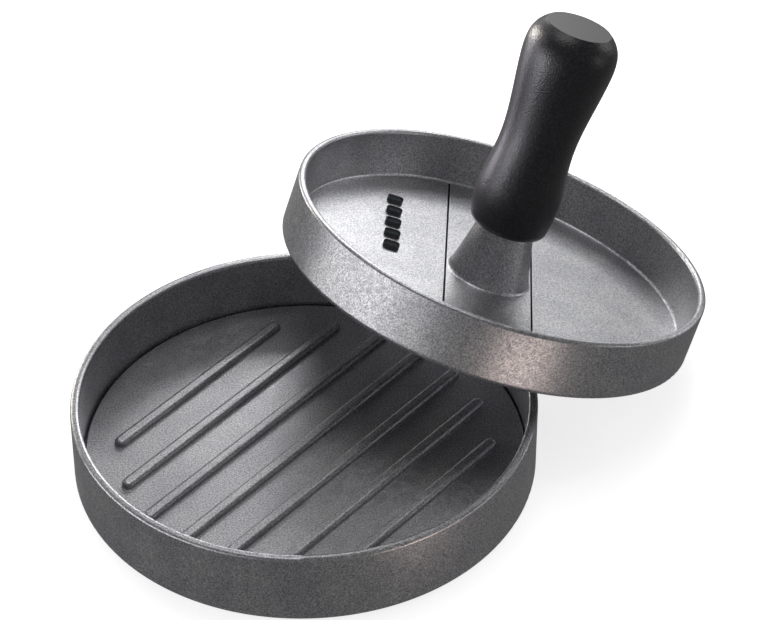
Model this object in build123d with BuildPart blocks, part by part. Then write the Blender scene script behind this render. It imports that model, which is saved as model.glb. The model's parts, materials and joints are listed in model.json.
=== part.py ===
from build123d import *

import math
import os

# Patty press for the kitchen or the meat counter, in millimetres, +Z up.
# A cast ring with a lift-out floor shapes the patty. A cast press dish with a hand grip closes it.
# The origin is the centre of the ring's foot, on the table. The press leans against the ring, with
# its low edge on the table and a rib on the ring's rim.

# Ring
ring_radius = 60.0
ring_height = 21.1
ring_wall = 2.4
ring_foot_round = 2.0
lip_round = 0.9
ledge_thickness = 2.6
push_hole_radius = 44.0
ledge_edge_round = 0.8

# Lift-out floor
floor_radius_gap = 0.35
floor_seat_gap = 0.05
floor_thickness = 2.0
floor_edge_chamfer = 0.5

# Ribs that print the grooves into both faces of the patty
rib_count = 7
rib_pitch = 12.4
rib_width = 3.4
rib_height = 1.6
rib_top_round = 1.1
rib_end_radius = 49.0
rib_heading = 50.4

# Press dish
dish_radius = 57.0
dish_height = 16.7
dish_wall = 2.1
dish_foot_round = 1.5
dish_floor_radius = 53.8
dish_corner_round = 0.7
plate_thickness = 3.3
engraved_line_offset = 12.1
engraved_line_width = 0.6
engraved_line_depth = 0.35
engraved_line_length = 104.0

# Boss in the middle of the dish, tapped from above for the grip's stud
boss_foot_radius = 11.1
boss_top_radius = 7.6
boss_height = 15.1
boss_foot_round = 0.8
boss_top_round = 0.3
tapped_hole_depth = 11.5
tapped_hole_radius = 4.0

# Stud, thread insert and seal between boss and grip
stud_radius = 3.95
stud_in_boss = 10.0
stud_end_chamfer = 0.8
stud_end_room = 1.0
insert_length = 13.0
insert_radius = 5.6
insert_bore_radius = 4.0
insert_groove_depth = 0.7
insert_groove_width = 2.0
knurl_count = 24
knurl_radius = 0.45
seal_section_radius = 0.9
seal_ring_radius = 5.6
seal_clearance = 0.05

# Grip: a stiff core with a soft skin moulded round it, an hourglass with a flat top
grip_seat_gap = 0.1
grip_length = 59.1
grip_foot_radius = 8.4
grip_outline = [(10.75, 2.1), (11.4, 9.2), (10.15, 22.8), (12.2, 47.3), (12.25, 53.3)]
grip_top_radius = 8.7
grip_top_slope = (-1.0, 0.75)
core_radius = 7.6
core_head_length = 2.2
core_head_flare = 1.1
core_spline_count = 6
core_spline_width = 2.0
core_spline_height = 0.9
core_spline_margin = 4.0

# Where the press stands: leaning outwards from the ring along one azimuth
lean_tilt = 21.67
lean_azimuth = 35.0
dish_heading = -4.3
seat_along = 65.3
seat_across = 10.6

lean_direction = Vector(1, 0, 0).rotate(Axis.Z, lean_azimuth)
lean_hinge = Axis((0, 0, 0), Vector(0, 1, 0).rotate(Axis.Z, lean_azimuth))
press_normal = Vector(0, 0, 1).rotate(lean_hinge, lean_tilt)
press_x = Vector(1, 0, 0).rotate(Axis.Z, dish_heading).rotate(lean_hinge, lean_tilt)

# The dish's rounded foot just meets the table
foot_circle = dish_radius - dish_foot_round
tilt = math.radians(lean_tilt)
seat_height = foot_circle * math.sin(tilt) + dish_foot_round * (1 - math.cos(tilt))
seat_point = lean_direction * seat_along + lean_hinge.direction * seat_across + Vector(0, 0, seat_height)

# Dish plane: its underside, with X across the ribs. Side plane: X outwards, Y up the dish's axis.
dish_plane = Plane(origin=seat_point, x_dir=press_x, z_dir=press_normal)
side_plane = Plane(origin=seat_point, x_dir=dish_plane.x_dir, z_dir=-dish_plane.y_dir)
press_axis = Axis(seat_point, press_normal)

grip_base = plate_thickness + boss_height + grip_seat_gap
seal_recess_radius = seal_ring_radius + seal_section_radius + seal_clearance
seal_recess_depth = 2 * seal_section_radius
insert_base = grip_base + seal_recess_depth
grip_top = grip_base + grip_length


def rib_lengths():
    """Centre offset and length of each rib, cut to one circle."""
    offsets = [(index - (rib_count - 1) / 2) * rib_pitch for index in range(rib_count)]
    return [(offset, 2 * math.sqrt(rib_end_radius**2 - offset**2)) for offset in offsets]


def rib_bars():
    """Bars with round ends along the sketch's Y, for the ribs of the floor and of the press."""
    for offset, length in rib_lengths():
        with Locations((offset, 0)):
            SlotOverall(length, rib_width, rotation=90)


def v_notch():
    """Triangle that points down from the sketch's own origin, for an engraved line."""
    half_width = engraved_line_width / 2
    corners = ((-half_width, 0), (half_width, 0), (0, -engraved_line_depth))
    Polygon(*corners, align=(Align.NONE, Align.NONE))


def round_corners(sketch, corners):
    """Round the sketch's corner nearest to each point by the radius given with it."""
    for point, radius in corners:
        fillet(sketch.vertices().sort_by_distance(point)[0], radius)


def finish(builder, name):
    """Label a sub-part and write it to its own file."""
    builder.part.label = name
    export_step(builder.part, os.path.join("parts", name + ".step"))


os.makedirs("parts", exist_ok=True)

# Cast ring: a straight wall with a rounded lip, and a ledge at its foot that carries the floor
ring_bore = ring_radius - ring_wall
with BuildPart() as base_ring:
    with BuildSketch(Plane.XZ) as ring_profile:
        with BuildLine():
            Polyline(
                (push_hole_radius, 0),
                (ring_radius, 0),
                (ring_radius, ring_height),
                (ring_bore, ring_height),
                (ring_bore, ledge_thickness),
                (push_hole_radius, ledge_thickness),
                close=True,
            )
        make_face()
        ring_corners = [
            ((ring_radius, 0), ring_foot_round),
            ((ring_radius, ring_height), lip_round),
            ((ring_bore, ring_height), lip_round),
            ((push_hole_radius, 0), ledge_edge_round),
            ((push_hole_radius, ledge_thickness), ledge_edge_round),
        ]
        round_corners(ring_profile, ring_corners)
    revolve(axis=Axis.Z)
finish(base_ring, "base_ring")

# Lift-out floor: a disc that lies on the ledge, with ribs on its upper face
floor_radius = ring_bore - floor_radius_gap
floor_bottom = ledge_thickness + floor_seat_gap
floor_top = floor_bottom + floor_thickness
with BuildPart() as lift_out_floor:
    with BuildSketch(Plane.XY.offset(floor_bottom)):
        Circle(floor_radius)
    extrude(amount=floor_thickness)
    chamfer(lift_out_floor.edges().filter_by(GeomType.CIRCLE), floor_edge_chamfer)
    rib_plane = Plane.XY.rotated((0, 0, rib_heading - 90)).offset(floor_top)
    with BuildSketch(rib_plane):
        rib_bars()
    extrude(amount=rib_height)
    fillet(lift_out_floor.edges().group_by(Axis.Z)[-1], rib_top_round)
finish(lift_out_floor, "lift_out_floor")

# Press dish: plate, upright wall and tapped boss in one casting, ribs below, two lines engraved above
dish_top_inner = dish_radius - dish_wall
boss_top = plate_thickness + boss_height
with BuildPart() as press_dish:
    with BuildSketch(side_plane) as dish_profile:
        with BuildLine():
            Polyline(
                (0, 0),
                (dish_radius, 0),
                (dish_radius, dish_height),
                (dish_top_inner, dish_height),
                (dish_floor_radius, plate_thickness),
                (boss_foot_radius, plate_thickness),
                (boss_top_radius, boss_top),
                (0, boss_top),
                close=True,
            )
        make_face()
        dish_corners = [
            ((dish_radius, 0), dish_foot_round),
            ((dish_radius, dish_height), lip_round),
            ((dish_top_inner, dish_height), lip_round),
            ((dish_floor_radius, plate_thickness), dish_corner_round),
            ((boss_foot_radius, plate_thickness), boss_foot_round),
            ((boss_top_radius, boss_top), boss_top_round),
        ]
        round_corners(dish_profile, dish_corners)
    revolve(axis=press_axis)
    with BuildSketch(dish_plane):
        rib_bars()
    extrude(amount=-rib_height)
    fillet(press_dish.edges().group_by(press_axis)[0], rib_top_round)
    with BuildSketch(side_plane):
        with Locations((-engraved_line_offset, plate_thickness), (engraved_line_offset, plate_thickness)):
            v_notch()
    extrude(amount=engraved_line_length / 2, both=True, mode=Mode.SUBTRACT)
    with BuildSketch(dish_plane.offset(boss_top)):
        Circle(tapped_hole_radius)
    extrude(amount=-tapped_hole_depth, mode=Mode.SUBTRACT)
finish(press_dish, "press_dish")

# Stud: a plain rod to the thread's outer diameter, screwed into the boss below and the insert above
stud_bottom = boss_top - stud_in_boss
stud_length = stud_in_boss + (insert_base - boss_top) + insert_length
with BuildPart() as handle_stud:
    with BuildSketch(dish_plane.offset(stud_bottom)):
        Circle(stud_radius)
    extrude(amount=stud_length)
    chamfer(handle_stud.edges().filter_by(GeomType.CIRCLE), stud_end_chamfer)
finish(handle_stud, "handle_stud")

# Threaded insert: a knurled sleeve with one groove round its middle, moulded into the core
with BuildPart() as threaded_insert:
    with BuildSketch(dish_plane.offset(insert_base)):
        Circle(insert_radius)
        Circle(insert_bore_radius, mode=Mode.SUBTRACT)
        with PolarLocations(insert_radius, knurl_count):
            Circle(knurl_radius, mode=Mode.SUBTRACT)
    extrude(amount=insert_length)
    with BuildSketch(dish_plane.offset(insert_base + (insert_length - insert_groove_width) / 2)):
        Circle(insert_radius)
        Circle(insert_radius - insert_groove_depth, mode=Mode.SUBTRACT)
    extrude(amount=insert_groove_width, mode=Mode.SUBTRACT)
finish(threaded_insert, "threaded_insert")

# Seal ring: keeps meat juice out of the thread, in a recess under the grip
seal_height = boss_top + seal_section_radius + seal_clearance
with BuildPart() as seal_ring:
    with BuildSketch(side_plane):
        with Locations((seal_ring_radius, seal_height)):
            Circle(seal_section_radius)
    revolve(axis=press_axis)
finish(seal_ring, "seal_ring")

# Core blank: the outside of the stiff core, with splines that key the skin and a flat head on top
core_body_length = grip_length - core_head_length
core_shoulder = grip_base + core_body_length
with BuildPart() as core_blank:
    with BuildSketch(dish_plane.offset(grip_base)):
        Circle(core_radius)
    extrude(amount=core_body_length)
    with BuildSketch(side_plane):
        with BuildLine():
            Polyline(
                (0, core_shoulder - core_head_flare),
                (core_radius, core_shoulder - core_head_flare),
                (grip_top_radius, core_shoulder),
                (grip_top_radius, grip_top),
                (0, grip_top),
                close=True,
            )
        make_face()
    revolve(axis=press_axis)
    with BuildSketch(dish_plane.offset(grip_base + core_spline_margin)):
        with PolarLocations(core_radius, core_spline_count):
            Rectangle(2 * core_spline_height, core_spline_width)
    extrude(amount=core_body_length - 2 * core_spline_margin)

# Grip core: the blank with the seal's recess, room for the stud, and the insert's pocket
stud_room = insert_base + insert_length + stud_end_room - grip_base
with BuildPart() as grip_core:
    add(core_blank.part)
    with BuildSketch(dish_plane.offset(grip_base)):
        Circle(seal_recess_radius)
    extrude(amount=seal_recess_depth, mode=Mode.SUBTRACT)
    with BuildSketch(dish_plane.offset(grip_base)):
        Circle(insert_bore_radius)
    extrude(amount=stud_room, mode=Mode.SUBTRACT)
    add(threaded_insert.part, mode=Mode.SUBTRACT)
finish(grip_core, "grip_core")

# Grip skin: the hourglass that the hand holds, open at the top round the core's head
with BuildPart() as grip_skin:
    with BuildSketch(side_plane):
        with BuildLine():
            foot = (grip_foot_radius, grip_base)
            outline = [(radius, grip_base + height) for radius, height in grip_outline]
            top_edge = (grip_top_radius, grip_top)
            Line((0, grip_base), foot)
            foot_arc = TangentArc(foot, outline[0], tangent=(1, 0))
            Spline(*outline, top_edge, tangents=(foot_arc % 1, grip_top_slope))
            Polyline(top_edge, (0, grip_top), (0, grip_base))
        make_face()
    revolve(axis=press_axis)
    add(core_blank.part, mode=Mode.SUBTRACT)
finish(grip_skin, "grip_skin")
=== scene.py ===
import json
import math
import bpy
from mathutils import Matrix, Vector


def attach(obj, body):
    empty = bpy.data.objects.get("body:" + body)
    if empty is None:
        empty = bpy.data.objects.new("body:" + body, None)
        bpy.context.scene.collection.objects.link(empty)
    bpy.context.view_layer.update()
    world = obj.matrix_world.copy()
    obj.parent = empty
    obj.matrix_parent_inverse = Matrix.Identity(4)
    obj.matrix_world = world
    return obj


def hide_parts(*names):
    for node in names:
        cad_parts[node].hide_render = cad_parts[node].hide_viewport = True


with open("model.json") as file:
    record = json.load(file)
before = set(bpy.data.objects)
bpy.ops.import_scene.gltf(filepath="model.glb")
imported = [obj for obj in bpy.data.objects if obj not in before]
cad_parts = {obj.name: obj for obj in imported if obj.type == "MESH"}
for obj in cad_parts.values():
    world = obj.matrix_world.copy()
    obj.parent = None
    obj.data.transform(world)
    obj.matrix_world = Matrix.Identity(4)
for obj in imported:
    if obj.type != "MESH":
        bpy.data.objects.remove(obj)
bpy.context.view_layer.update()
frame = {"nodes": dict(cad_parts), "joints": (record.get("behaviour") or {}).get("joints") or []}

nodes = frame["nodes"]
mm = 0.001

# the leaning half turns and slides along one line, which the grip's joint gives
gripTurn = [joint for joint in frame["joints"] if joint["name"] == "grip_unscrew"][0]
pressUp = Vector(gripTurn["axis"]).normalized()
pressSeat = Vector(gripTurn["pos_m"])                         # middle of the dish's underside
pressAcross = Vector((0.952385, -0.106348, -0.285748))        # square to the two engraved lines
pressAlong = pressUp.cross(pressAcross)


# the camera: a long lens at arm's length, looking down on the press
cameraView = {
    "place": (0.0215, -0.5893, 0.5366),     # metres, in front, a little right of the ring's middle
    "lookDown": 39.55,                      # degrees below level
    "lens": 141.5, "sensor": 36,            # millimetres
    "nearest": 0.01, "furthest": 20,        # metres, the range that is drawn
}


def addCamera(view):
    data = bpy.data.cameras.new("camera")
    data.lens = view["lens"]
    data.sensor_width = view["sensor"]
    data.clip_start = view["nearest"]
    data.clip_end = view["furthest"]
    camera = bpy.data.objects.new("camera", data)
    camera.location = view["place"]
    camera.rotation_euler = (math.radians(90 - view["lookDown"]), 0, 0)
    bpy.context.scene.collection.objects.link(camera)
    bpy.context.scene.camera = camera


addCamera(cameraView)
print("camera done")


def colour(hexCode):
    # sRGB to linear, by its standard curve
    parts = [int(hexCode[i:i + 2], 16) / 255 for i in (1, 3, 5)]
    linear = [p / 12.92 if p <= 0.04045 else ((p + 0.055) / 1.055) ** 2.4 for p in parts]
    return (*linear, 1)


def addNode(tree, kind, settings=None, links=None):
    # a key is a socket's name or number, one of the node's own settings, or "ramp",
    # which lists a colour ramp's stops as (position, colour)
    node = tree.nodes.new(kind)
    for key, value in (settings or {}).items():
        if key == "ramp":
            for stop, (position, hexCode) in enumerate(value):
                node.color_ramp.elements[stop].position = position
                node.color_ramp.elements[stop].color = colour(hexCode)
        elif isinstance(key, str) and hasattr(node, key):
            setattr(node, key, value)
        else:
            node.inputs[key].default_value = value
    for key, source in (links or {}).items():
        tree.links.new(source, node.inputs[key])
    return node


def newMaterial(name):
    material = bpy.data.materials.new(name)
    material.use_nodes = True
    tree = material.node_tree
    tree.nodes.clear()
    return material, tree


def wear(piece, material):
    piece.data.materials.clear()
    piece.data.materials.append(material)


def onlySelect(piece):
    bpy.ops.object.select_all(action="DESELECT")
    piece.select_set(True)
    bpy.context.view_layer.objects.active = piece


def settle(piece, height, across=0.0, along=0.0):
    # stands a piece made about the origin on the leaning dish, its place then in its mesh
    place = pressSeat + pressUp * height + pressAcross * across + pressAlong * along
    turn = Matrix((pressAcross, pressAlong, pressUp)).transposed().to_4x4()
    piece.matrix_world = Matrix.Translation(place) @ turn
    bpy.context.view_layer.update()
    onlySelect(piece)
    bpy.ops.object.transform_apply(location=True, rotation=True, scale=True)


# cast aluminium under a sprayed coat: grey with metallic flake, a faint orange peel from the
# spraying, slow clouds where the coat lies thicker, and a paler line along sharp edges that is
# partly wear and partly a painted highlight on the lips
castCoat = {
    "speckle": ((0.34, "#939396"), (0.68, "#d7d7d9")),      # stops: flake level, colour
    "clouds": ((0.35, "#f0f0f3"), (0.60, "#ffffff")),       # stops: cloud level, tint
    "flake": 0.42,              # mm, drawn coarser than the real 0.1 mm flake so that it shows
    "flakeDetail": 2.0,
    "flakeBump": 0.05,          # mm
    "flakeStrength": 0.35,
    "peel": 1.3,                # mm, spacing of the sprayed coat's ripples
    "peelDetail": 1.0,
    "peelBump": 0.012,          # mm
    "peelStrength": 0.3,
    "cloud": 11.0,              # mm
    "cloudDetail": 3.0,
    "peelLow": 0.3, "peelHigh": 0.7,            # ripple levels that have the next two roughnesses
    "roughLow": 0.36, "roughHigh": 0.46,
    # paler edge colour: partly wear, partly a painted highlight
    "wearAndHighlight": "#d8d7d8", "wearAndHighlightMost": 0.8,
    "edge": 0.5,                # mm, how far the paler edge, partly wear and partly painted highlight, reaches from an edge
    "edgeSamples": 4,
    "wearAndHighlightFrom": 0.995, "wearAndHighlightFull": 0.85,        # likeness of the rounded normal to the plain one
}
# the two engraved lines, coloured dark inside as painted shade in the grooves
grooveLook = {
    "across": 12.1, "halfWidth": 0.4, "halfLength": 52.6,           # mm
    "height": 3.1, "halfDepth": 0.17,       # mm above the dish's underside
    "grooveShade": "#2a2a2c",
}


def paintedShadeInGrooves(tree, place, tone, look):
    # measured on the dish's own axes: across the lines, along them, and up from its underside
    turn = Matrix((pressAcross, pressAlong, pressUp))
    onDish = addNode(tree, "ShaderNodeMapping",
                     {"Rotation": turn.to_euler(), "Location": -(turn @ pressSeat)},
                     {"Vector": place})
    axes = addNode(tree, "ShaderNodeSeparateXYZ", links={"Vector": onDish.outputs["Vector"]})
    eitherLine = addNode(tree, "ShaderNodeMath", {"operation": "ABSOLUTE"}, {0: axes.outputs["X"]})
    onLine = addNode(tree, "ShaderNodeMath",
                     {"operation": "COMPARE", 1: look["across"] * mm, 2: look["halfWidth"] * mm},
                     {0: eitherLine.outputs["Value"]})
    eitherEnd = addNode(tree, "ShaderNodeMath", {"operation": "ABSOLUTE"}, {0: axes.outputs["Y"]})
    beforeEnd = addNode(tree, "ShaderNodeMath",
                        {"operation": "LESS_THAN", 1: look["halfLength"] * mm},
                        {0: eitherEnd.outputs["Value"]})
    cutDeep = addNode(tree, "ShaderNodeMath",
                      {"operation": "COMPARE", 1: look["height"] * mm, 2: look["halfDepth"] * mm},
                      {0: axes.outputs["Z"]})
    lineHere = addNode(tree, "ShaderNodeMath", {"operation": "MULTIPLY"},
                       {0: onLine.outputs["Value"], 1: beforeEnd.outputs["Value"]})
    inGroove = addNode(tree, "ShaderNodeMath", {"operation": "MULTIPLY"},
                       {0: lineHere.outputs["Value"], 1: cutDeep.outputs["Value"]})
    # painted shade: the grooves are coloured dark, as their shaded walls would look
    return addNode(tree, "ShaderNodeMixRGB", {"Color2": colour(look["grooveShade"])},
                   {"Fac": inGroove.outputs["Value"], "Color1": tone}).outputs["Color"]


def castAluminiumWithNonStickCoat(look, name, grooves=None):
    material, tree = newMaterial(name)
    place = addNode(tree, "ShaderNodeTexCoord").outputs["Object"]
    flake = addNode(tree, "ShaderNodeTexNoise",
                    {"Scale": 1 / (look["flake"] * mm), "Detail": look["flakeDetail"]},
                    {"Vector": place}).outputs["Fac"]
    cloud = addNode(tree, "ShaderNodeTexNoise",
                    {"Scale": 1 / (look["cloud"] * mm), "Detail": look["cloudDetail"]},
                    {"Vector": place}).outputs["Fac"]
    peel = addNode(tree, "ShaderNodeTexNoise",
                   {"Scale": 1 / (look["peel"] * mm), "Detail": look["peelDetail"]},
                   {"Vector": place}).outputs["Fac"]
    speckle = addNode(tree, "ShaderNodeValToRGB", {"ramp": look["speckle"]}, {"Fac": flake})
    tint = addNode(tree, "ShaderNodeValToRGB", {"ramp": look["clouds"]}, {"Fac": cloud})
    coatTone = addNode(tree, "ShaderNodeMixRGB", {"blend_type": "MULTIPLY", "Fac": 1.0},
                       {"Color1": speckle.outputs["Color"],
                        "Color2": tint.outputs["Color"]}).outputs["Color"]
    # how far the rounded normal leans away from the plain one shows where an edge is
    rounded = addNode(tree, "ShaderNodeBevel",
                      {"samples": look["edgeSamples"], "Radius": look["edge"] * mm})
    plain = addNode(tree, "ShaderNodeNewGeometry")
    likeness = addNode(tree, "ShaderNodeVectorMath", {"operation": "DOT_PRODUCT"},
                       {0: rounded.outputs["Normal"], 1: plain.outputs["Normal"]}).outputs["Value"]
    edge = addNode(tree, "ShaderNodeMapRange",
                   {"From Min": look["wearAndHighlightFrom"], "From Max": look["wearAndHighlightFull"],
                    "To Max": look["wearAndHighlightMost"]},
                   {"Value": likeness}).outputs["Result"]
    # edges are coloured paler: partly wear, partly a painted highlight along the lips and rims
    tone = addNode(tree, "ShaderNodeMixRGB", {"Color2": colour(look["wearAndHighlight"])},
                   {"Fac": edge, "Color1": coatTone}).outputs["Color"]
    if grooves:
        # the engraved lines get painted shade
        tone = paintedShadeInGrooves(tree, place, tone, grooves)
    roughness = addNode(tree, "ShaderNodeMapRange",
                        {"From Min": look["peelLow"], "From Max": look["peelHigh"],
                         "To Min": look["roughLow"], "To Max": look["roughHigh"]},
                        {"Value": peel}).outputs["Result"]
    ripple = addNode(tree, "ShaderNodeBump",
                     {"Strength": look["peelStrength"], "Distance": look["peelBump"] * mm},
                     {"Height": peel}).outputs["Normal"]
    grit = addNode(tree, "ShaderNodeBump",
                   {"Strength": look["flakeStrength"], "Distance": look["flakeBump"] * mm},
                   {"Height": flake, "Normal": ripple}).outputs["Normal"]
    shader = addNode(tree, "ShaderNodeBsdfPrincipled", {"Metallic": 1.0},
                     {"Base Color": tone, "Roughness": roughness, "Normal": grit})
    addNode(tree, "ShaderNodeOutputMaterial", links={"Surface": shader.outputs["BSDF"]})
    return material


coat = castAluminiumWithNonStickCoat(castCoat, "castAluminiumWithNonStickCoat")
engravedCoat = castAluminiumWithNonStickCoat(castCoat, "engravedCastAluminiumWithCoat", grooveLook)
wear(nodes["base_ring"], coat)
wear(nodes["lift_out_floor"], coat)
wear(nodes["press_dish"], engravedCoat)
print("castings done")


# soft-touch elastomer moulded in a spark-eroded tool: nearly black, satin, with a fine
# pebbled grain that breaks up the highlights, and patches that handling has polished
gripLook = {
    "tones": ((0.42, "#09080c"), (0.72, "#2b2830")),        # stops: grain level, colour
    "patchLow": 0.35, "patchHigh": 0.65,        # patch levels that have the next two roughnesses
    "roughLow": 0.31, "roughHigh": 0.40,
    "specular": 0.55,
    "sheen": 0.10, "sheenRoughness": 0.4, "sheenTint": "#d9d4e0",   # a velvety edge glow
    "grain": 0.5,               # mm, drawn coarser than the real 0.15 mm grain so that it shows
    "grainDetail": 2.0,
    "grainBump": 0.2,           # mm
    "grainStrength": 0.5,
    "patch": 9.0,               # mm
    "patchDetail": 2.0,
}


def softTouchElastomer(look):
    material, tree = newMaterial("softTouchElastomer")
    place = addNode(tree, "ShaderNodeTexCoord").outputs["Object"]
    grain = addNode(tree, "ShaderNodeTexNoise",
                    {"Scale": 1 / (look["grain"] * mm), "Detail": look["grainDetail"]},
                    {"Vector": place}).outputs["Fac"]
    patch = addNode(tree, "ShaderNodeTexNoise",
                    {"Scale": 1 / (look["patch"] * mm), "Detail": look["patchDetail"]},
                    {"Vector": place}).outputs["Fac"]
    tone = addNode(tree, "ShaderNodeValToRGB", {"ramp": look["tones"]}, {"Fac": grain})
    roughness = addNode(tree, "ShaderNodeMapRange",
                        {"From Min": look["patchLow"], "From Max": look["patchHigh"],
                         "To Min": look["roughLow"], "To Max": look["roughHigh"]},
                        {"Value": patch}).outputs["Result"]
    pebbles = addNode(tree, "ShaderNodeBump",
                      {"Strength": look["grainStrength"], "Distance": look["grainBump"] * mm},
                      {"Height": grain}).outputs["Normal"]
    shader = addNode(tree, "ShaderNodeBsdfPrincipled",
                     {"Specular IOR Level": look["specular"], "Sheen Weight": look["sheen"],
                      "Sheen Roughness": look["sheenRoughness"],
                      "Sheen Tint": colour(look["sheenTint"])},
                     {"Base Color": tone.outputs["Color"], "Roughness": roughness,
                      "Normal": pebbles})
    addNode(tree, "ShaderNodeOutputMaterial", links={"Surface": shader.outputs["BSDF"]})
    return material


wear(nodes["grip_skin"], softTouchElastomer(gripLook))


# glass-filled nylon core, moulded: dark grey, slightly lighter and drier than the skin round it
coreLook = {
    "tones": ((0.4, "#2b2b2d"), (0.7, "#3a3a3c")),          # stops: fibre level, colour
    "roughness": 0.45, "ior": 1.53,
    "fibre": 0.5,               # mm, the cloudy marks that the glass leaves at the surface
    "fibreDetail": 3.0, "fibreDistortion": 0.6,
    "bump": 0.03,               # mm
    "bumpStrength": 0.4,
}


def glassFilledNylon(look):
    material, tree = newMaterial("glassFilledNylon")
    place = addNode(tree, "ShaderNodeTexCoord").outputs["Object"]
    fibre = addNode(tree, "ShaderNodeTexNoise",
                    {"Scale": 1 / (look["fibre"] * mm), "Detail": look["fibreDetail"],
                     "Distortion": look["fibreDistortion"]},
                    {"Vector": place}).outputs["Fac"]
    tone = addNode(tree, "ShaderNodeValToRGB", {"ramp": look["tones"]}, {"Fac": fibre})
    matt = addNode(tree, "ShaderNodeBump",
                   {"Strength": look["bumpStrength"], "Distance": look["bump"] * mm},
                   {"Height": fibre}).outputs["Normal"]
    shader = addNode(tree, "ShaderNodeBsdfPrincipled",
                     {"Roughness": look["roughness"], "IOR": look["ior"]},
                     {"Base Color": tone.outputs["Color"], "Normal": matt})
    addNode(tree, "ShaderNodeOutputMaterial", links={"Surface": shader.outputs["BSDF"]})
    return material


wear(nodes["grip_core"], glassFilledNylon(coreLook))


# silicone rubber O-ring, moulded: matt black with a dusty bloom
sealLook = {
    "tones": ((0.45, "#0d0d0e"), (0.75, "#1d1d1e")),        # stops: bloom level, colour
    "roughness": 0.6, "ior": 1.41,
    "bloom": 0.6,               # mm
    "bloomDetail": 4.0,
    "bump": 0.02,               # mm
    "bumpStrength": 0.3,
}


def mouldedSiliconeRubber(look):
    material, tree = newMaterial("mouldedSiliconeRubber")
    place = addNode(tree, "ShaderNodeTexCoord").outputs["Object"]
    bloom = addNode(tree, "ShaderNodeTexNoise",
                    {"Scale": 1 / (look["bloom"] * mm), "Detail": look["bloomDetail"]},
                    {"Vector": place}).outputs["Fac"]
    tone = addNode(tree, "ShaderNodeValToRGB", {"ramp": look["tones"]}, {"Fac": bloom})
    skin = addNode(tree, "ShaderNodeBump",
                   {"Strength": look["bumpStrength"], "Distance": look["bump"] * mm},
                   {"Height": bloom}).outputs["Normal"]
    shader = addNode(tree, "ShaderNodeBsdfPrincipled",
                     {"Roughness": look["roughness"], "IOR": look["ior"]},
                     {"Base Color": tone.outputs["Color"], "Normal": skin})
    addNode(tree, "ShaderNodeOutputMaterial", links={"Surface": shader.outputs["BSDF"]})
    return material


wear(nodes["seal_ring"], mouldedSiliconeRubber(sealLook))


# brass turned on a lathe: warm yellow with fine rings round the axis and a little tarnish
insertLook = {
    "tones": ((0.4, "#d9b56a"), (0.75, "#a9813f")),         # stops: tarnish level, colour
    "roughness": 0.28,
    "ring": 0.35,               # mm, the tool's feed, drawn coarser than the real 0.1 mm
    "waveSpacing": 0.314,       # metres between the rings of a wave texture whose scale is 1
    "tarnish": 2.5,             # mm
    "tarnishDetail": 3.0,
    "bump": 0.02,               # mm
    "bumpStrength": 0.6,
}


def turnedBrass(look):
    material, tree = newMaterial("turnedBrass")
    place = addNode(tree, "ShaderNodeTexCoord").outputs["Object"]
    lean = pressUp.rotation_difference(Vector((0, 0, 1))).to_euler()
    upright = addNode(tree, "ShaderNodeMapping", {"Rotation": lean}, {"Vector": place})
    rings = addNode(tree, "ShaderNodeTexWave",
                    {"bands_direction": "Z", "Scale": look["waveSpacing"] / (look["ring"] * mm)},
                    {"Vector": upright.outputs["Vector"]}).outputs["Fac"]
    tarnish = addNode(tree, "ShaderNodeTexNoise",
                      {"Scale": 1 / (look["tarnish"] * mm), "Detail": look["tarnishDetail"]},
                      {"Vector": place}).outputs["Fac"]
    tone = addNode(tree, "ShaderNodeValToRGB", {"ramp": look["tones"]}, {"Fac": tarnish})
    turning = addNode(tree, "ShaderNodeBump",
                      {"Strength": look["bumpStrength"], "Distance": look["bump"] * mm},
                      {"Height": rings}).outputs["Normal"]
    shader = addNode(tree, "ShaderNodeBsdfPrincipled",
                     {"Metallic": 1.0, "Roughness": look["roughness"]},
                     {"Base Color": tone.outputs["Color"], "Normal": turning})
    addNode(tree, "ShaderNodeOutputMaterial", links={"Surface": shader.outputs["BSDF"]})
    return material


wear(nodes["threaded_insert"], turnedBrass(insertLook))
print("grip done")


# the stud that the grip turns on: rolled steel thread, plated with bright zinc, cool grey
# with the faint yellow and blue drift of its passivation
studLook = {
    "crest": 3.93, "root": 3.27, "pitch": 1.25, "flat": 0.16,       # mm, M8 coarse
    "steps": 36,                # segments in a turn
    "spareTurns": 2,            # wound past each end, then cut off
    "merge": 0.002,             # mm, points closer than this become one
    "pilot": 1.0,               # mm, tapered end
    "pilotTaper": 0.84,
    "smoothBelow": 35,          # degrees, sharper edges stay crisp
    "tones": ((0.42, "#b4b8bd"), (0.72, "#c9c2ae")),        # stops: drift level, colour
    "roughness": 0.27,
    "drift": 3.0,               # mm
    "driftDetail": 3.0,
    "bump": 0.012,              # mm
    "bumpStrength": 0.4,
}


def spanAlongAxis(node):
    heights = [(vertex.co - pressSeat).dot(pressUp) for vertex in nodes[node].data.vertices]
    return min(heights), max(heights)


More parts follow.
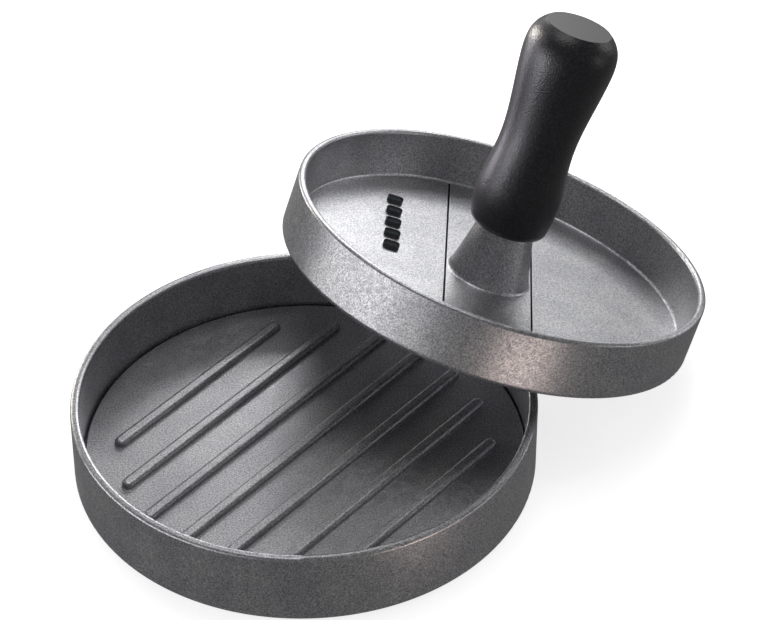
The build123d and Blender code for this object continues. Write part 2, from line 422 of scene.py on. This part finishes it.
def addThreadedStud(look):
    low, high = spanAlongAxis("handle_stud")
    pitch, crest, root, flat = [look[key] * mm for key in ("pitch", "crest", "root", "flat")]
    pilot = look["pilot"] * mm
    slope = (pitch - 2 * flat) / 2
    # one tooth of the thread is drawn as a line of points beside the axis, then wound up it
    bpy.ops.object.select_all(action="DESELECT")
    bpy.ops.mesh.primitive_plane_add(size=pitch, location=(0, 0, 0))
    stud = bpy.context.object
    stud.name = "threadedStud"
    bpy.ops.object.mode_set(mode="EDIT")
    bpy.ops.mesh.select_all(action="SELECT")
    bpy.ops.mesh.merge(type="CENTER")
    bpy.ops.transform.translate(value=(root, 0, low - look["spareTurns"] * pitch))
    for step in ((0, 0, flat), (crest - root, 0, slope), (0, 0, flat), (root - crest, 0, slope)):
        bpy.ops.mesh.extrude_vertices_move(TRANSFORM_OT_translate={"value": step})
    bpy.ops.object.mode_set(mode="OBJECT")
    winding = stud.modifiers.new("winding", "SCREW")
    winding.axis = "Z"
    winding.angle = math.tau
    winding.screw_offset = pitch
    winding.iterations = math.ceil((high - low) / pitch) + 2 * look["spareTurns"]
    winding.steps = look["steps"]
    winding.render_steps = look["steps"]
    bpy.ops.object.modifier_apply(modifier=winding.name)
    # both ends are cut square and drawn in to a short taper
    bpy.ops.object.mode_set(mode="EDIT")
    bpy.ops.mesh.select_all(action="SELECT")
    bpy.ops.mesh.remove_doubles(threshold=look["merge"] * mm)
    for end, away in ((low + pilot, -1), (high - pilot, 1)):
        bpy.ops.mesh.select_all(action="SELECT")
        bpy.ops.mesh.bisect(plane_co=(0, 0, end), plane_no=(0, 0, away), use_fill=True,
                            clear_outer=True)
        bpy.ops.mesh.extrude_region_move(TRANSFORM_OT_translate={"value": (0, 0, away * pilot)})
        bpy.ops.transform.resize(value=(look["pilotTaper"], look["pilotTaper"], 1),
                                 center_override=(0, 0, end))
    bpy.ops.mesh.select_all(action="SELECT")
    bpy.ops.mesh.normals_make_consistent(inside=False)
    bpy.ops.object.mode_set(mode="OBJECT")
    settle(stud, 0)
    bpy.ops.object.shade_smooth_by_angle(angle=math.radians(look["smoothBelow"]))
    return stud


def zincPlatedSteel(look):
    material, tree = newMaterial("zincPlatedSteel")
    place = addNode(tree, "ShaderNodeTexCoord").outputs["Object"]
    drift = addNode(tree, "ShaderNodeTexNoise",
                    {"Scale": 1 / (look["drift"] * mm), "Detail": look["driftDetail"]},
                    {"Vector": place}).outputs["Fac"]
    tone = addNode(tree, "ShaderNodeValToRGB", {"ramp": look["tones"]}, {"Fac": drift})
    rolled = addNode(tree, "ShaderNodeBump",
                     {"Strength": look["bumpStrength"], "Distance": look["bump"] * mm},
                     {"Height": drift}).outputs["Normal"]
    shader = addNode(tree, "ShaderNodeBsdfPrincipled",
                     {"Metallic": 1.0, "Roughness": look["roughness"]},
                     {"Base Color": tone.outputs["Color"], "Normal": rolled})
    addNode(tree, "ShaderNodeOutputMaterial", links={"Surface": shader.outputs["BSDF"]})
    return material


stud = addThreadedStud(studLook)
steel = zincPlatedSteel(studLook)
wear(stud, steel)
wear(nodes["handle_stud"], steel)
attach(stud, "grip")
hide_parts("handle_stud")
print("stud done")


# a plain mark pad-printed on the dish: short dark bars in a row, with no lettering. The ink is
# matt and a little uneven, as the pad's film leaves it
markLook = {
    "bars": 5, "across": 4.4, "along": 3.2, "pitch": 7.4,           # mm
    "corner": 1.2,              # mm
    "cornerSegments": 8,
    "place": (-27.5, -1.2),     # mm across and along, the first bar's middle
    "floor": 3.3,               # mm above the dish's underside
    "proud": 0.04,              # mm, and each bar reaches as far below the dish's face
    "tones": ((0.45, "#3a4143"), (0.8, "#53595b")),         # stops: screen level, colour
    "roughness": 0.5,
    "screen": 0.5,              # mm, unevenness of the ink
    "screenDetail": 2.0,
    "bumpStrength": 0.2,
}


def addPrintedMark(look):
    bpy.ops.object.select_all(action="DESELECT")
    bpy.ops.mesh.primitive_cube_add(size=1, location=(0, 0, 0))
    bar = bpy.context.object
    bar.scale = (look["across"] * mm, look["along"] * mm, 2 * look["proud"] * mm)
    bpy.ops.object.transform_apply(location=True, rotation=True, scale=True)
    # the bar's four upright edges are rounded
    for line in bar.data.edges:
        start, end = [bar.data.vertices[i].co for i in line.vertices]
        line.select = abs(start.z - end.z) > look["proud"] * mm
    bpy.ops.object.mode_set(mode="EDIT")
    bpy.ops.mesh.select_mode(type="EDGE")
    bpy.ops.mesh.bevel(offset=look["corner"] * mm, segments=look["cornerSegments"])
    bpy.ops.object.mode_set(mode="OBJECT")
    bars = [bar]
    for i in range(1, look["bars"]):
        onlySelect(bar)
        bpy.ops.object.duplicate(linked=False)
        copy = bpy.context.object
        copy.location = (0, i * look["pitch"] * mm, 0)
        bars.append(copy)
    for copy in bars:
        copy.select_set(True)
    bpy.context.view_layer.objects.active = bar
    bpy.ops.object.join()
    mark = bpy.context.object
    mark.name = "printedMark"
    across, along = look["place"]
    settle(mark, look["floor"] * mm, across * mm, along * mm)
    return mark


def padPrintedInk(look):
    material, tree = newMaterial("padPrintedInk")
    place = addNode(tree, "ShaderNodeTexCoord").outputs["Object"]
    screen = addNode(tree, "ShaderNodeTexNoise",
                     {"Scale": 1 / (look["screen"] * mm), "Detail": look["screenDetail"]},
                     {"Vector": place}).outputs["Fac"]
    tone = addNode(tree, "ShaderNodeValToRGB", {"ramp": look["tones"]}, {"Fac": screen})
    film = addNode(tree, "ShaderNodeBump",
                   {"Strength": look["bumpStrength"], "Distance": look["proud"] * mm},
                   {"Height": screen}).outputs["Normal"]
    shader = addNode(tree, "ShaderNodeBsdfPrincipled", {"Roughness": look["roughness"]},
                     {"Base Color": tone.outputs["Color"], "Normal": film})
    addNode(tree, "ShaderNodeOutputMaterial", links={"Surface": shader.outputs["BSDF"]})
    return material


mark = addPrintedMark(markLook)
wear(mark, padPrintedInk(markLook))
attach(mark, "press")
print("mark done")


# studio: a pale glowing floor, and soft panels that the metal mirrors
studioFloor = {
    "size": 6.0,                # metres
    "below": 0.2,               # mm under the ring's foot
    "colour": "#e6e6e6", "roughness": 0.9,
    "glowColour": "#ffffff", "glow": 0.75,
}


def addFloor(look):
    bpy.ops.object.select_all(action="DESELECT")
    bpy.ops.mesh.primitive_plane_add(size=look["size"], location=(0, 0, -look["below"] * mm))
    floor = bpy.context.object
    floor.name = "studioFloor"
    material, tree = newMaterial("paleStudioFloor")
    shader = addNode(tree, "ShaderNodeBsdfPrincipled",
                     {"Base Color": colour(look["colour"]), "Roughness": look["roughness"],
                      "Emission Color": colour(look["glowColour"]),
                      "Emission Strength": look["glow"]})
    addNode(tree, "ShaderNodeOutputMaterial", links={"Surface": shader.outputs["BSDF"]})
    wear(floor, material)
    # the metal mirrors the studio's grey instead of the bright floor
    floor.visible_glossy = False
    floor.visible_diffuse = False


addFloor(studioFloor)

studioCentre = (0.03, 0.02, 0.03)       # metres, where the panels aim
studioLights = {
    # degrees round from behind and up, metres away, width and height in metres, radiance, colour
    "backNear": (3, 25, 0.42, 0.22, 0.16, 3.3, "#ffffff"),
    "back": (12, 25, 0.85, 0.4, 0.36, 2.9, "#ffffff"),
    "rim": (-42, 11, 0.8, 0.26, 0.3, 6.9, "#fffaf2"),
    "left": (-88, 4, 0.8, 0.3, 0.3, 3.4, "#ffffff"),
    "leftFront": (-114, 2, 0.8, 0.3, 0.3, 3.4, "#ffffff"),
    "frontLeft": (-138, 4, 0.8, 0.3, 0.3, 1.5, "#ffffff"),
    "backRight": (60, 15, 0.8, 0.3, 0.3, 2.2, "#ffffff"),
    "right": (105, 6, 0.8, 0.2, 0.2, 2.7, "#ffffff"),
    "top": (0, 80, 0.8, 0.4, 0.4, 2.5, "#ffffff"),
}
# three panels flagged off the castings light the grip alone
gripLights = {
    "gripLeft": (-106, 5, 0.8, 0.3, 0.4, 4.5, "#f6f2ff"),
    "gripEdge": (-58, 2, 0.8, 0.2, 0.5, 7.0, "#f6f2ff"),
    "gripShoulder": (-42, 12, 0.8, 0.15, 0.17, 52.0, "#fffaf2"),
}
# a small card standing low in front warms the side of the dish and the ring, not the grip
lowCard = {
    "place": (0.072, -0.085, 0.012), "aim": (0.062, -0.01, 0.03),       # metres
    "width": 0.05, "height": 0.03,
    "radiance": 2.2, "tint": "#ffeae0",
}
studioWorld = {"colour": "#ffffff", "strength": 0.18}       # the grey that fills between panels


def addPanel(name, place, aim, width, height, radiance, tint, lit=None):
    data = bpy.data.lights.new(name, "AREA")
    data.shape = "RECTANGLE"
    data.size = width
    data.size_y = height
    data.energy = radiance * math.pi * width * height       # watts that give that radiance
    data.color = colour(tint)[:3]
    panel = bpy.data.objects.new(name, data)
    panel.location = place
    panel.rotation_euler = (Vector(aim) - Vector(place)).to_track_quat("-Z", "Y").to_euler()
    panel.visible_camera = False
    bpy.context.scene.collection.objects.link(panel)
    if lit:
        panel.light_linking.receiver_collection = lit


def onlyThese(name, pieces):
    group = bpy.data.collections.new(name)
    for piece in pieces:
        group.objects.link(nodes[piece])
    return group


def addRing(lights, lit=None):
    for name, (azimuth, elevation, distance, width, height, radiance, tint) in lights.items():
        az, el = math.radians(azimuth), math.radians(elevation)
        away = Vector((math.sin(az) * math.cos(el), math.cos(az) * math.cos(el), math.sin(el)))
        addPanel(name, Vector(studioCentre) + away * distance, studioCentre, width, height,
                 radiance, tint, lit)


castingsOnly = onlyThese("castingsOnly", ("base_ring", "lift_out_floor", "press_dish"))
gripOnly = onlyThese("gripOnly", ("grip_skin", "grip_core", "seal_ring"))
addRing(studioLights)
addRing(gripLights, gripOnly)
addPanel("lowCard", lit=castingsOnly, **lowCard)

world = bpy.data.worlds.new("studio")
world.use_nodes = True
background = world.node_tree.nodes["Background"]
background.inputs["Color"].default_value = colour(studioWorld["colour"])
background.inputs["Strength"].default_value = studioWorld["strength"]
bpy.context.scene.world = world
bpy.context.scene.view_settings.view_transform = "Standard"
print("studio done")
